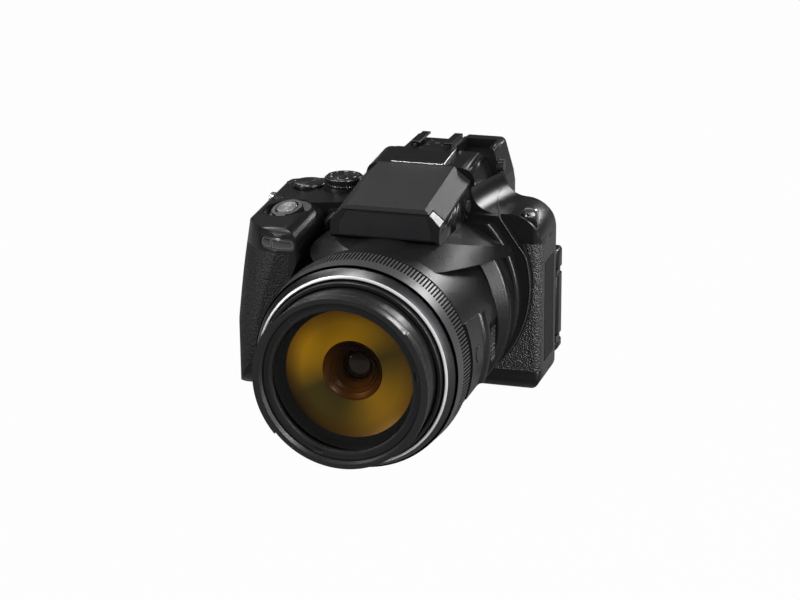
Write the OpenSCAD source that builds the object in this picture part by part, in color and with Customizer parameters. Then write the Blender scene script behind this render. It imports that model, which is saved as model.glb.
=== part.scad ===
// Superzoom bridge camera, lens drawn in, screen folded in.
// Millimetres. +Z up, the lens looks along -Y, origin at the mouth of the tripod socket.

/* [Lens] */
// Height of the lens axis above the base
axis_h = 42; // [40:0.5:44]
// Distance from the tripod axis forward to the front rim
lens_reach = 131.8; // [128:0.2:138]
// Filter thread diameter
filter_d = 77; // [74:0.5:78]
// Depth of the filter thread in front of the retaining ring
thread_len = 3.5; // [2.5:0.1:5]
// Clear opening of the front glass
aperture_d = 67.6; // [62:0.2:70]
// Radius of the front barrel
front_r = 41; // [40.4:0.1:41.6]
// Wall of the front barrel
front_wall = 2; // [1.4:0.1:2.4]
// Wall of the middle barrel
mid_wall = 2.3; // [1.6:0.1:2.6]
// How far the two hood claws stand out of the front rim
claw_out = 0.9; // [0.4:0.1:1.2]
// How far the front rim stands ahead of the bezel
reveal = 18; // [16:0.5:22]
// How far the middle barrel stands ahead of the bezel
mid_reveal = 3; // [1:0.5:5]
// Length of the satin bezel
bezel_len = 5.8; // [4:0.2:8]
// Length of the ribbed control ring
ring_len = 16.9; // [14:0.5:18]
// Thickness of the control ring
ring_t = 3.6; // [3.2:0.1:3.9]
// Fall of the control ring radius towards the front
ring_fall = 1.1; // [0.6:0.1:1.4]
// Number of ribs on the control ring
rib_count = 180; // [60:4:180]
// Depth of the grooves between the ribs
rib_depth = 0.7; // [0.3:0.1:0.9]
// Wall of the fixed barrel
barrel_wall = 4.7; // [4.4:0.1:5.2]
// Length of the plain black band behind the control ring
band_len = 5; // [4:0.5:6]
// Travel of the middle barrel
mid_travel = 75; // [40:1:77]
// Travel of the front barrel inside the middle one
front_travel = 72; // [40:1:74]
// Length of barrel that stays guided at full reach
guide_len = 16; // [12:1:17]
// Height of the flare centre above the lens axis
flare_rise = 5.5; // [4.5:0.5:6.5]
// Radius of the flare
flare_r = 53.5; // [52.5:0.5:54]

/* [Body] */
// Distance from the lens axis to the outer face of the grip
grip_side = 83; // [81.5:0.5:88]
// Distance from the lens axis to the left side face
left_side = 64; // [63:0.2:66]
// Distance from the tripod axis forward to the body front
body_front = 12; // [11:0.5:14]
// Distance from the tripod axis back to the rear face
body_back = 22; // [21:0.5:25]
// Extra depth of the block under the thumb
thumb_out = 5; // [3:0.5:7]
// Plane where the front and rear covers meet
shell_y = 5; // [4:0.5:7]
// Height of the seam under the top cover
seam_h = 78.3; // [77:0.1:79]
// Height of the same seam on the grip
grip_seam_h = 75.5; // [74.5:0.1:76]
// Height of the left shoulder
shoulder_h = 92.2; // [91.6:0.2:95]
// Wall thickness of the covers
wall = 3; // [2.4:0.2:3.4]
// Thickness of the collar plate around the lens
collar_len = 4; // [3:0.5:5]
// Radius of the collar plate
collar_r = 59.8; // [59:0.2:60.4]

/* [Grip] */
// How far the grip stands ahead of the body front
grip_out = 40; // [39:0.5:44]
// Radius of the outer front corner of the grip
grip_r = 14; // [12:0.5:15]
// Thickness of the rubber skin
skin = 1.2; // [0.8:0.1:1.6]
// Battery width
battery_w = 14; // [12:0.5:14.5]
// Battery depth
battery_d = 31; // [28:0.5:31.5]
// Battery height
battery_h = 41; // [36:0.5:44]

/* [Viewfinder hump] */
// Distance from the tripod axis forward to the foot of the front plate
hump_reach = 62; // [60:0.5:64]
// Height of the flash cover's front lip above the barrel
lip_up = 14.9; // [14:0.1:15.8]
// Width of the hump under the flash cover
hump_w = 54; // [52:0.5:55]
// Width of the flat top of the flash cover
flash_w = 38.4; // [36:0.4:40]
// Height of the chamfer at the edges of the flash cover
chamfer_h = 7.2; // [6:0.2:7.6]
// Rise of the flash cover towards the rear
rise_angle = 8.7; // [8:0.1:9.2]
// Width of the deck that carries the accessory shoe
deck_w = 26.6; // [25:0.2:28]
// Distance from the tripod axis back to the rear of the eyepiece block
block_back = 40; // [38:0.5:42]
// Depth of the eyecup
eyecup_len = 9.5; // [6:0.5:14]

/* [Controls] */
// Radius of the shutter button
shutter_r = 5.2; // [4.6:0.1:5.4]
// Mode dial radius
mode_r = 10; // [9:0.1:10.2]
// Command dial radius
command_r = 8.5; // [7:0.1:8.8]
// Travel of the push buttons
press = 0.6; // [0.4:0.1:0.8]
// Selector dial radius
selector_r = 11; // [10:0.1:12]

/* [Screen] */
// Screen panel width
panel_w = 84; // [82:0.2:85]
// Screen panel thickness
panel_t = 10.6; // [10:0.1:10.8]
// Screen panel height
panel_h = 56; // [54:0.2:57]
// Height of the screen panel's lower edge
panel_z = 8.5; // [8:0.5:9]

/* [Fits] */
// Gap between pieces that move past each other
gap = 0.3; // [0.2:0.05:0.35]
// Radial clearance of pins and shafts
pin_gap = 0.05; // [0.02:0.01:0.08]

/* [Hidden] */
$fn = 96;
over = 1;
far = 200;

// Stations along the lens, from the front rim back
front_y = -lens_reach;
name_y = front_y + thread_len;
bezel_y = front_y + reveal;
ring_y = bezel_y + bezel_len;
band_y = ring_y + ring_len;
barrel_y = band_y + band_len;
mid_y = bezel_y - mid_reveal;
mid_end = bezel_y + mid_travel + guide_len;
front_end = mid_y + front_travel + guide_len;
collar_y = -body_front - collar_len;
rim_len = 5.7;
rim_end = front_y + rim_len;

// Nested barrel radii
filter_r = filter_d / 2;
rim_seat_r = filter_r - 0.4;
aperture_r = aperture_d / 2;
mid_in = front_r + gap;
mid_r = mid_in + mid_wall;
bore_r = mid_r + gap;
seat_wall = 2.6;
seat_r = bore_r + seat_wall;
ring_r = seat_r + gap + ring_t;
barrel_r = bore_r + barrel_wall;
glass_seat = 2.6;
light_r = 16;

// Body planes
grip_y = -body_front - grip_out;
thumb_y = body_back + thumb_out;
hump_foot = axis_h + barrel_r - 1.6;
lip_h = axis_h + barrel_r + lip_up;
base_t = 2.5;

// Straight prisms along Y and X, and turned pieces on the lens axis
module along_y(y0, y1)
    translate([0, y1, 0]) rotate([90, 0, 0]) linear_extrude(y1 - y0) children();

module along_x(x0, x1)
    translate([x0, 0, 0]) rotate([90, 0, 90]) linear_extrude(x1 - x0) children();

module lens_turn(rise = 0)
    translate([0, 0, axis_h + rise]) rotate([-90, 0, 0]) rotate_extrude() children();

module tube(r_in, r_out, y0, y1)
    polygon([[r_in, y0], [r_out, y0], [r_out, y1], [r_in, y1]]);

module box(lo, hi)
    translate(lo) cube(hi - lo);

module pill(w, h)
    union() {
        square([w - h, h], center = true);
        for (s = [-1, 1]) translate([s * (w - h) / 2, 0]) circle(h / 2);
    }

// Polygon with a radius for each corner, and the piece one such corner loses
function unit(v) = v / norm(v);

module corner_cut(p, a, b, r) {
    u = unit(a - p);
    w = unit(b - p);
    half = acos(u * w) / 2;
    c = p + unit(u + w) * r / sin(half);
    t = r / tan(half);
    difference() {
        polygon([p - unit(u + w) * over, p + u * t, c, p + w * t]);
        translate(c) circle(r);
    }
}

module rounded(pts, rs) {
    n = len(pts);
    difference() {
        polygon(pts);
        for (i = [0:n - 1])
            if (rs[i] > 0) corner_cut(pts[i], pts[(i + n - 1) % n], pts[(i + 1) % n], rs[i]);
    }
}

module round_rect(x0, y0, x1, y1, rs)
    rounded([[x0, y0], [x1, y0], [x1, y1], [x0, y1]], rs);

// Outlines seen from above
thumb_x = 24;
grip_inner = 46;
grip_inner_low = 57;
front_edge_r = 4;
module block_plan()
    round_rect(-grip_side, -body_front, left_side, body_back, [0, front_edge_r, 3, 0]);

module thumb_plan()
    round_rect(-grip_side, -body_front, -thumb_x, thumb_y, [0, 0, 4, 9]);

module grip_plan(inset = 0)
    round_rect(-grip_side + inset, grip_y + inset, -grip_inner, 0, [grip_r - inset, 2.5, 0, 0]);

module body_plan()
    union() {
        difference() {
            block_plan();
            translate([-far, 0]) square([far - thumb_x - 8, far]);
        }
        thumb_plan();
    }

// Grip side: the top falls outwards and forwards, the outer face leans in
top_at = [-66, 13, grip_seam_h + 15.5];
top_lean = 5.5;
top_pitch = 4;
bend_h = 40;
top_side = grip_side - 2;
top_edge_r = 5;
inner_edge_r = 10;
brow_r = 5;
function leaned(p) = let (d = p - [top_at[0], top_at[2]])
    [d[0] * cos(top_lean) + d[1] * sin(top_lean), d[1] * cos(top_lean) - d[0] * sin(top_lean)];
bend_p = leaned([-grip_side, bend_h]);
side_p = leaned([-top_side, top_at[2]]);
edge_p = [bend_p[0] - (side_p[0] - bend_p[0]) * bend_p[1] / (side_p[1] - bend_p[1]), 0];
foot_p = leaned([-grip_side, -far]);
inner_p = [leaned([-grip_inner, top_at[2]])[0], 0];
function right_z(x, y) = top_at[2] + (x - top_at[0]) * tan(top_lean) + (y - top_at[1]) * tan(top_pitch);
module right_frame()
    translate(top_at) rotate([top_pitch, -top_lean, 0]) children();

module right_top()
    right_frame() along_y(-far, far)
        rounded([foot_p, bend_p, edge_p, [far, 0], [far, -far]], [0, 0, top_edge_r, 0, 0]);

module grip_top()
    right_frame() along_y(-far, far)
        rounded([foot_p, bend_p, edge_p, inner_p, leaned([-grip_inner, -far])],
            [0, 0, top_edge_r, inner_edge_r, 0]);

module brow_cut()
    right_frame() along_x(-far, far)
        corner_cut([grip_y - top_at[1], 0], [grip_y - top_at[1], -far], [far, 0], brow_r);

// Outer front corner: the same prism for body and grip, leaning in towards the top
corner_lean = 9;
corner_turn = 17.3;
corner_r = 30;
corner_out = [4.4, 2.5];
corner_at = [-grip_side + grip_r * (1 - cos(corner_turn)), grip_y + grip_r * (1 - sin(corner_turn)), bend_h];
module lean_prism(inset = 0)
    translate(corner_at) rotate([0, 0, corner_turn]) rotate([0, corner_lean, 0]) rotate([0, 0, -corner_turn])
        translate(-corner_at - [0, 0, far]) linear_extrude(3 * far)
            round_rect(-grip_side - corner_out[0] + inset, grip_y - corner_out[1] + inset, far, far,
                [corner_r - inset, 0, 0, 0]);

// Left side: one large shoulder radius
shoulder_r = 16;
module left_top()
    along_y(-far, far)
        rounded([[-thumb_x, -far], [left_side, -far], [left_side, shoulder_h], [-thumb_x, shoulder_h]],
            [0, 0, shoulder_r, 0]);

// Rounded lower edges of the body and of the grip
low_left_r = 10;
low_grip_r = 7;
low_front_r = 11;
grip_low_r = 24;
module low_form()
    along_y(-far, far)
        round_rect(-grip_side, 0, left_side, far, [low_grip_r, low_left_r, 0, 0]);

module body_form()
    intersection() {
        linear_extrude(far) body_plan();
        union() {
            intersection() {
                right_top();
                box([-far, -far, -far], [-thumb_x, far, far]);
            }
            left_top();
        }
        low_form();
        lean_prism();
        along_x(-far, far) round_rect(-body_front, 0, far, far, [low_front_r, 0, 0, 0]);
    }

module grip_form()
    difference() {
        intersection() {
            linear_extrude(far) grip_plan();
            lean_prism();
            grip_top();
            low_form();
            along_x(-far, far) round_rect(grip_y, 0, -body_front, far, [grip_low_r, 0, 0, 0]);
            along_y(-far, far) polygon([[-far, 0], [-grip_inner_low, 0], [-grip_inner_low + 1, 52],
                [-grip_inner, grip_seam_h], [-grip_inner, far], [-far, far]]);
        }
        brow_cut();
    }

// Region under the top cover seam
module below_seam()
    union() {
        box([-grip_inner, -far, -over], [far, far, seam_h]);
        box([-far, -far, -over], [-grip_inner, far, grip_seam_h]);
    }

// Zone of the rubber on the grip: everything outside an inset of the grip outline
skin_low = 8;
skin_edge = grip_inner + 6;
module skin_zone()
    difference() {
        box([-far, -far, skin_low], [-skin_edge, -body_front + over, grip_seam_h + over]);
        intersection() {
            translate([0, 0, -over]) linear_extrude(far) grip_plan(skin);
            lean_prism(skin);
        }
    }

// Outer form of the fixed barrel with cheeks, flare and rim, oversize by more
cheek_y = barrel_y + 14;
cheek_drop = 7.1;
cheek_h = axis_h + 38;
cheek_len = 66;
flare_y = collar_y - 15;
flare_edge_r = 3;
rim_y = collar_y - 5;
rim_up = flare_rise + 4;
rim_r = flare_r + 1.8;
rim_edge_r = 2.2;
cheek_tilt = atan(rim_up / (rim_y - cheek_y));
cheek_end = barrel_r + (rim_r - 1.2 - barrel_r) * cheek_len / (rim_y - cheek_y);
brow_out = 80;
brow_at = [2.3, hump_foot - 76.1];
module under_hump(more)
    along_y(-far, collar_y) intersection() {
        translate(brow_at) circle(brow_out + more, $fn = 360);
        translate([-grip_inner + 2, over]) square([far, hump_foot - over + more]);
    }

module flare(more)
    lens_turn(flare_rise) rounded([[0, flare_y - 4 - more], [flare_r - 6.5 + more, flare_y - 4 - more],
        [flare_r + more, flare_y + 1 - more], [flare_r + more, collar_y], [0, collar_y]],
        [0, 0, flare_edge_r, 0, 0]);

module rim(more)
    intersection() {
        lens_turn(rim_up) rounded([[0, rim_y - more], [rim_r + more, rim_y - more],
            [rim_r + more, collar_y], [0, collar_y]], [0, rim_edge_r, 0, 0]);
        box([-grip_inner + 2, -far, over], [far, far, hump_foot + more]);
    }

module cheek(more)
    intersection() {
        translate([0, cheek_y, axis_h]) rotate([cheek_tilt, 0, 0]) rotate([-90, 0, 0]) rotate_extrude()
            polygon([[0, -more], [barrel_r + more, -more], [cheek_end + more, cheek_len], [0, cheek_len]]);
        translate([0, cheek_y, cheek_h - more]) rotate([-cheek_drop, 0, 0])
            box([-far, -far, 0], [far, far, far]);
    }

module barrel_form(more = 0)
    union() {
        lens_turn() tube(0, barrel_r + more, barrel_y - more, collar_y);
        intersection() {
            union() {
                flare(more);
                cheek(more);
            }
            under_hump(more);
        }
        rim(more);
    }

// Collar plate, on a higher centre than the flare
collar_rise = flare_rise + 9;
module collar_disc(more, y0, y1)
    lens_turn(collar_rise) tube(0, collar_r + more, y0, y1);

module collar()
    difference() {
        intersection() {
            collar_disc(0, collar_y, -body_front);
            box([-far, -far, 0], [left_side - 1, far, seam_h]);
        }
        grip_form();
    }

// Space inside the covers
cavity_lo = [-48, -body_front + wall, 6];
cavity_hi = [left_side - 5.4, body_back - wall, 72];
module cavity()
    box(cavity_lo, cavity_hi);

// Connector bay in the left side
bay_y = [-4, 15];
bay_z = [15, 67];
bay_depth = 4.4;
module bay()
    box([left_side - bay_depth, bay_y[0], bay_z[0]], [left_side + over, bay_y[1], bay_z[1]]);

cover_t = 2.1;
cover_axis = [left_side - cover_t / 2, bay_y[0] + 1.4];
cover_pin_r = 0.5;
pin_len = 1;
module cover_pin(more)
    translate([cover_axis[0], cover_axis[1], bay_z[0] - pin_len - more])
        cylinder(r = cover_pin_r + more, h = bay_z[1] - bay_z[0] + 2 * (pin_len + more));

module base_recess()
    translate([0, 0, -over]) linear_extrude(base_t + over)
        union() {
            round_rect(-46, -2.5, 44, 19, [6, 6, 6, 6]);
            circle(6.8);
        }

screw_at = [[-41, 2.5], [39, 2.5], [-41, 14.5], [39, 14.5]];
screw_r = 0.9;
screw_len = 6;
screw_head_r = 1.7;
module screw_holes(r, z0, z1)
    for (p = screw_at) translate([p[0], p[1], z0]) cylinder(r = r, h = z1 - z0);

bushing_r = 5.5;
bushing_h = 7;
module bushing_hole()
    translate([0, 0, -over]) cylinder(r = bushing_r, h = bushing_h + over);

module front_cover() color("#1c1d20")
    difference() {
        union() {
            intersection() {
                body_form();
                below_seam();
                box([-far, -far, -over], [far, shell_y, far]);
            }
            collar();
        }
        cavity();
        bay();
        cover_pin(pin_gap);
        base_recess();
        bushing_hole();
        screw_holes(screw_r + pin_gap, base_t - over, screw_len + over);
        side_zone();
        battery_bay();
        card_bay();
        door_bay();
        lens_turn() tube(0, light_r, collar_y - over, 0);
    }

// Rubber on the left of the front, wrapped round the corner to the side
patch_z = [12, seam_h - 0.4];
patch_back = -7;
module side_zone()
    difference() {
        box([20, -far, patch_z[0]], [far, patch_back, patch_z[1]]);
        translate([0, 0, -over]) linear_extrude(far)
            round_rect(0, -body_front + skin, left_side - skin, far, [0, front_edge_r - skin, 0, 0]);
        collar_disc(gap, -far, 0);
    }

module side_rubber() color("#17181a")
    intersection() {
        side_zone();
        body_form();
    }

// Battery chamber, card slot and the door under the grip
battery_at = [-77.5, grip_y + 22.5, 3.2];
card_size = [2.1, 24, 32];
card_at = [battery_at[0] + battery_w + 1.4, battery_at[1] + 3, 3.2];
door_t = 2.3;
door_lift = 0.3;
hinge_r = 1.15;
door_x = [-80, card_at[0] + card_size[0] + 1];
door_y = [grip_y + 21, battery_at[1] + battery_d + 1.5];
door_axis = [door_x[1], door_lift + hinge_r];
module battery_bay()
    box(battery_at - [gap, gap, far], battery_at + [battery_w, battery_d, battery_h] + [gap, gap, gap]);

module card_bay()
    box(card_at - [gap, gap, far], card_at + card_size + [gap, gap, gap]);

module door_bay()
    union() {
        box([door_x[0] - gap, door_y[0] - gap, -over],
            [door_x[1] + hinge_r + gap, door_y[1] + gap, door_lift + door_t + 0.2]);
        door_pin(pin_gap);
    }

door_pin_r = 0.6;
module door_pin(more)
    translate([door_axis[0], door_y[0] - pin_len - more, door_axis[1]])
        rotate([-90, 0, 0]) cylinder(r = door_pin_r + more, h = door_y[1] - door_y[0] + 2 * (pin_len + more));

module grip_body() color("#1a1b1d")
    difference() {
        intersection() {
            grip_form();
            below_seam();
        }
        skin_zone();
        battery_bay();
        card_bay();
        door_bay();
    }

module grip_rubber() color("#151617")
    intersection() {
        grip_form();
        skin_zone();
        below_seam();
    }

module battery_door() color("#1b1c1e")
    union() {
        box([door_x[0], door_y[0], door_lift], [door_x[1], door_y[1], door_lift + door_t]);
        translate([door_axis[0], door_y[0], door_axis[1]])
            rotate([-90, 0, 0]) cylinder(r = hinge_r, h = door_y[1] - door_y[0]);
        door_pin(0);
    }

module battery() color("#3c3d40")
    box(battery_at, battery_at + [battery_w, battery_d, battery_h]);

module memory_card() color("#2f4a7a")
    difference() {
        box(card_at, card_at + card_size);
        translate(card_at + [-over, 0, card_size[2] - 4]) rotate([-45, 0, 0])
            translate([0, -8, 0]) cube([card_size[0] + 2 * over, 8, 8]);
    }

// Rear cover with bosses for the board
boss_r = 2.5;
board_t = 1.6;
board_y = 10;
board_lo = [-44, 12];
board_hi = [40, 68];
module board_bosses()
    for (x = [board_lo[0] + 4, board_hi[0] - 4], z = [board_lo[1] + 4, board_hi[1] - 4])
        translate([x, board_y + board_t, z]) rotate([-90, 0, 0])
            cylinder(r = boss_r, h = cavity_hi[1] - board_y - board_t);

module rear_cover() color("#1c1d20")
    difference() {
        union() {
            difference() {
                intersection() {
                    body_form();
                    below_seam();
                    box([-far, shell_y, -over], [far, far, far]);
                }
                cavity();
            }
            board_bosses();
            hinge_ears();
        }
        bay();
        cover_pin(pin_gap);
        base_recess();
        bushing_hole();
        screw_holes(screw_r + pin_gap, base_t - over, screw_len + over);
        rear_holes();
        hinge_pin(pin_gap);
    }

module main_board() color("#1d5a34")
    box([board_lo[0], board_y, board_lo[1]], [board_hi[0], board_y + board_t, board_hi[1]]);

module base_plate() color("#202124")
    difference() {
        intersection() {
            base_recess();
            box([-far, -far, 0], [far, far, base_t]);
        }
        bushing_hole();
        screw_holes(screw_head_r + pin_gap, -over, 1.1);
        screw_holes(screw_r + pin_gap, 0, base_t + over);
    }

socket_r = 3.175;
socket_len = 6;
module tripod_bushing() color("#b9bbbd")
    difference() {
        cylinder(r = bushing_r, h = bushing_h);
        translate([0, 0, -over]) cylinder(r = socket_r, h = socket_len + over);
    }

module cover_screws() color("#77797c")
    union() {
        screw_holes(screw_head_r, 0.1, 1.1);
        screw_holes(screw_r, 0.1, screw_len);
    }

// Pieces inside the covers
module image_sensor() color("#31465a")
    union() {
        box([-20, cavity_lo[1], axis_h - 17], [20, cavity_lo[1] + 3, axis_h + 17]);
        box([-7, cavity_lo[1] - 1.5, axis_h - 5], [7, cavity_lo[1] + over, axis_h + 5]);
    }

motor_at = [48.5, 17];
motor_r = 6;
motor_len = 14;
gear_len = 8;
module zoom_motor() color("#8d9095")
    union() {
        box([motor_at[0] - motor_r - 0.5, cavity_lo[1], motor_at[1] - motor_r - 2],
            [motor_at[0] + motor_r + 0.5, cavity_lo[1] + gear_len, motor_at[1] + motor_r + 2]);
        translate([motor_at[0], cavity_lo[1] + gear_len, motor_at[1]])
            rotate([-90, 0, 0]) cylinder(r = motor_r, h = motor_len);
    }

socket_x = left_side - bay_depth + 0.6;
plug_y = [1, 9];
plug_z = [bay_z[0] + 14, bay_z[0] + 25];
plug_h = 3.4;
jack_at = [5, bay_z[0] + 43];
jack_r = 1.8;
module connector_sockets() color("#2a2b2e")
    difference() {
        box([left_side - bay_depth, bay_y[0] + gap, bay_z[0] + gap],
            [left_side - bay_depth + 1.9, bay_y[1] - gap, bay_z[1] - gap]);
        for (z = plug_z) box([socket_x, plug_y[0], z], [left_side, plug_y[1], z + plug_h]);
        translate([socket_x, jack_at[0], jack_at[1]]) rotate([0, 90, 0]) cylinder(r = jack_r, h = bay_depth);
    }

module connector_cover() color("#1a1b1c")
    union() {
        box([left_side - cover_t, cover_axis[1], bay_z[0] + gap],
            [left_side, bay_y[1] - gap, bay_z[1] - gap]);
        translate([cover_axis[0], cover_axis[1], bay_z[0] + gap])
            cylinder(r = cover_t / 2, h = bay_z[1] - bay_z[0] - 2 * gap);
        cover_pin(0);
    }

// Hollow saddle between the left shoulder and the swept flank of the hump
saddle_r = 12;
saddle_edge = 0.3;
module saddle()
    intersection() {
        translate([hump_w / 2 + sweep_r, sweep_y, shoulder_h]) rotate_extrude($fn = 360) difference() {
            translate([sweep_r - saddle_r, -over]) square([saddle_r + over, saddle_r + over]);
            translate([sweep_r - saddle_r - saddle_edge, saddle_r]) circle(saddle_r);
        }
        box([0, -body_front, shoulder_h - over], [left_side, body_back, far]);
    }

// Apron of the top cover, flush with the collar and cut back along a slant
apron_x = [53.2, 43.5];
apron_drop = 4;
module apron()
    along_y(collar_y, -body_front + over) polygon([[-grip_inner + 2, seam_h - over],
        [apron_x[0], seam_h - over], [apron_x[0], seam_h], [apron_x[1], shoulder_h], [0, shoulder_h],
        [-grip_inner + 2, shoulder_h - apron_drop]]);

// Top cover: both shoulders and the seat under the hump
module top_cover() color("#1d1e21")
    difference() {
        union() {
            difference() {
                union() {
                    body_form();
                    grip_form();
                    saddle();
                    apron();
                }
                below_seam();
                translate([0, 0, hump_foot]) linear_extrude(far) hump_plan();
            }
            dial_seats();
        }
        dial_recesses();
        shutter_recess();
        lug_recesses();
        af_recess();
        flush_holes();
    }

// Dials: seat, recess and shaft share one place each
mode_at = [-44.3, 12, top_at[2] + 3.2];
command_at = [-64.2, 16, top_at[2] - 0.6];
dial_gap = 0.3;
shaft_r = 3;
shaft_len = 4;
module at_mode() translate(mode_at) children();
module at_command() translate(command_at) children();

module dial_seats() {
    at_mode() translate([0, 0, -8]) cylinder(r = mode_r + 0.6, h = 8);
    at_command() translate([0, 0, -8]) cylinder(r = command_r + 0.4, h = 8);
}

module dial_recesses() {
    at_mode() dial_recess(mode_r + 0.6);
    at_command() dial_recess(command_r + 0.6);
}

module dial_recess(r) {
    cylinder(r = r, h = 12);
    translate([0, 0, -shaft_len - 0.5]) cylinder(r = shaft_r + pin_gap, h = shaft_len + over);
}

module knurled(r, h, n, cut)
    linear_extrude(h) difference() {
        circle(r);
        for (i = [0:n - 1]) rotate(i * 360 / n) translate([r, 0]) circle(cut, $fn = 4);
    }

mode_h = 4.6;
module mode_dial() color("#202124")
    at_mode() translate([0, 0, dial_gap]) union() {
        knurled(mode_r, mode_h - 1, 48, 0.35);
        translate([0, 0, mode_h - 1]) rotate_extrude()
            polygon([[0, 0], [mode_r - 0.4, 0], [mode_r - 1.2, 1], [0, 1]]);
        translate([0, 0, -shaft_len]) cylinder(r = shaft_r, h = shaft_len + over);
    }

command_h = 2.8;
module command_dial() color("#232427")
    at_command() translate([0, 0, dial_gap]) union() {
        rotate_extrude() polygon([[0, 0], [command_r, 0], [command_r, command_h - 0.8],
            [command_r - 0.8, command_h], [0, command_h - 0.4]]);
        translate([0, 0, -shaft_len]) cylinder(r = shaft_r, h = shaft_len + over);
    }

// Shutter button and zoom lever in a tilted dish
shutter_at = [-64, -18, top_at[2] - 4.6];
shutter_tilt = 14;
shutter_lean = 9;
lever_in = 5.9;
lever_r = 8;
lever_h = 2.6;
tab_w = 5.2;
tab_out = 3.4;
tab_h = 3.8;
shutter_h = 3.6;
module at_shutter()
    translate(shutter_at) rotate([shutter_tilt, -shutter_lean, 0]) children();

module shutter_recess()
    at_shutter() {
        cylinder(r = 12, h = 12);
        translate([0, 0, -2.4]) cylinder(r = shutter_r + gap, h = 4);
    }

module shutter_button() color("#3a3b3e")
    at_shutter() translate([0, 0, -1.6]) rotate_extrude()
        difference() {
            square([shutter_r, shutter_h + 1.6]);
            translate([0, shutter_h + 1.6 + 28 - 0.9]) circle(28, $fn = 180);
        }

module zoom_lever() color("#26272a")
    at_shutter() translate([0, 0, gap]) difference() {
        union() {
            cylinder(r = lever_r, h = lever_h);
            translate([-tab_w / 2, -lever_r - tab_out, 0]) cube([tab_w, 5, tab_h]);
        }
        translate([0, 0, -over]) cylinder(r = lever_in, h = lever_h + 2 * over);
    }

// Small flush buttons on the top
power_at = [-75.8, 20.6, right_z(-75.8, 20.6)];
fn_at = [-74.6, -3, right_z(-74.6, -3)];
flush_r = 2.6;
flush_h = 3;
module flush_holes()
    for (p = [power_at, fn_at]) translate(p - [0, 0, flush_h]) cylinder(r = flush_r + gap, h = 12);

module flush_button(p)
    translate(p - [0, 0, flush_h - press - 0.4]) cylinder(r = flush_r, h = flush_h - press);

module power_button() color("#2b2c2f") flush_button(power_at);
module fn_button() color("#2b2c2f") flush_button(fn_at);

// Lamp window in the brow of the grip
af_size = [19.4, 6.2];
af_at = [-58.4, grip_seam_h + 4.5];
af_in = 0.5;
af_t = 1.6;
module af_prism()
    along_y(grip_y - over, grip_y + 12) translate(af_at) pill(af_size[0], af_size[1]);

module af_floor(inset)
    intersection() {
        lean_prism(inset);
        box([-far, grip_y + inset, 0], [far, far, far]);
    }

module af_recess()
    difference() {
        af_prism();
        af_floor(af_in + af_t);
    }

module af_lamp_window() color("#5a5b5c")
    intersection() {
        af_recess();
        af_floor(af_in);
    }

// Strap lugs, each in its recess
lug_left = [[52.6, -9.6, shoulder_h - 7.2], [61, -3.4, shoulder_h + 8]];
lug_right = [[-grip_side - over, 1, top_at[2] - 11], [-top_side + 1.6, 11, top_at[2] + over]];
module lug_recesses() {
    box(lug_left[0], lug_left[1]);
    box(lug_right[0], lug_right[1]);
}

lug_t = 2.4;
module lug_plate(w, h)
    difference() {
        round_rect(-w / 2, 0, w / 2, h, [0, 0, 2.5, 2.5]);
        translate([0, h - 3]) pill(w - 2.6, 2.4);
    }

module strap_lugs() color("#a7a9ab")
    union() {
        translate([(lug_left[0][0] + lug_left[1][0]) / 2, 0, lug_left[0][2]])
            along_y(lug_left[1][1] - lug_t, lug_left[1][1]) lug_plate(7.6, 9);
        translate([0, (lug_right[0][1] + lug_right[1][1]) / 2, lug_right[0][2]])
            along_x(lug_right[1][0] - lug_t, lug_right[1][0]) lug_plate(8, 8.6);
    }

// Fixed barrel with flare, and the control pod on its left
pod_y = [band_y + 1.6, barrel_y + 29];
pod_r = barrel_r + 1.4;
pod_top = [34.5, 22, 14];
step_r = barrel_r + 2.2;
step_y = pod_y[1] - 14;
step_top = [19, 16.5];
step_low = 18;
ridge_r = 5;
ridge_out = barrel_r + 3.9;
flat_x = barrel_r - 1.4;
flat_z = [axis_h - 24, axis_h + 6];
module step_side()
    along_x(0, far) polygon([[pod_y[0], axis_h - step_low], [pod_y[0], axis_h + step_top[0]],
        [pod_y[1], axis_h + step_top[1]], [pod_y[1], axis_h - step_low]]);

module pod()
    union() {
        intersection() {
            lens_turn() tube(barrel_r - 3, pod_r, pod_y[0], pod_y[1] + 12);
            along_x(0, far) polygon([[pod_y[0], axis_h - 20], [pod_y[0], axis_h + pod_top[0]],
                [pod_y[1], axis_h + pod_top[1]], [pod_y[1] + 12, axis_h + pod_top[2]],
                [pod_y[1] + 1, axis_h + 6], [pod_y[1] + 1, axis_h - 20]]);
        }
        intersection() {
            lens_turn() union() {
                tube(barrel_r - 3, step_r, pod_y[0] + 1, step_y + 2);
                tube(barrel_r - 3, ridge_out - ridge_r, step_y, pod_y[1]);
                intersection() {
                    translate([ridge_out - ridge_r, pod_y[1] - ridge_r - 1]) circle(ridge_r);
                    tube(barrel_r - 3, far, step_y, pod_y[1]);
                }
            }
            step_side();
        }
    }

module lens_housing() color("#1b1c1f")
    difference() {
        union() {
            barrel_form();
            lens_turn() polygon([[0, ring_y], [seat_r, ring_y], [seat_r, band_y], [barrel_r, band_y],
                [barrel_r, band_y + 1], [barrel_r - 1.2, band_y + 1], [barrel_r - 1.2, barrel_y + over],
                [0, barrel_y + over]]);
            pod();
        }
        lens_turn() tube(0, bore_r, ring_y - over, collar_y + over);
        box([flat_x, pod_y[1] + 1, flat_z[0]], [far, flare_y - 4, flat_z[1]]);
        snap_hole();
        rocker_slot();
    }

// Round button in the pod and the ribbed rocker behind it
snap_at = [1.5, pod_y[0] + 11];
snap_r = 4;
module at_snap()
    translate([0, snap_at[1], axis_h + snap_at[0]]) rotate([0, 90, 0]) children();

module snap_hole()
    at_snap() translate([0, 0, barrel_r - 1]) cylinder(r = snap_r + gap, h = 12);

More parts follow.
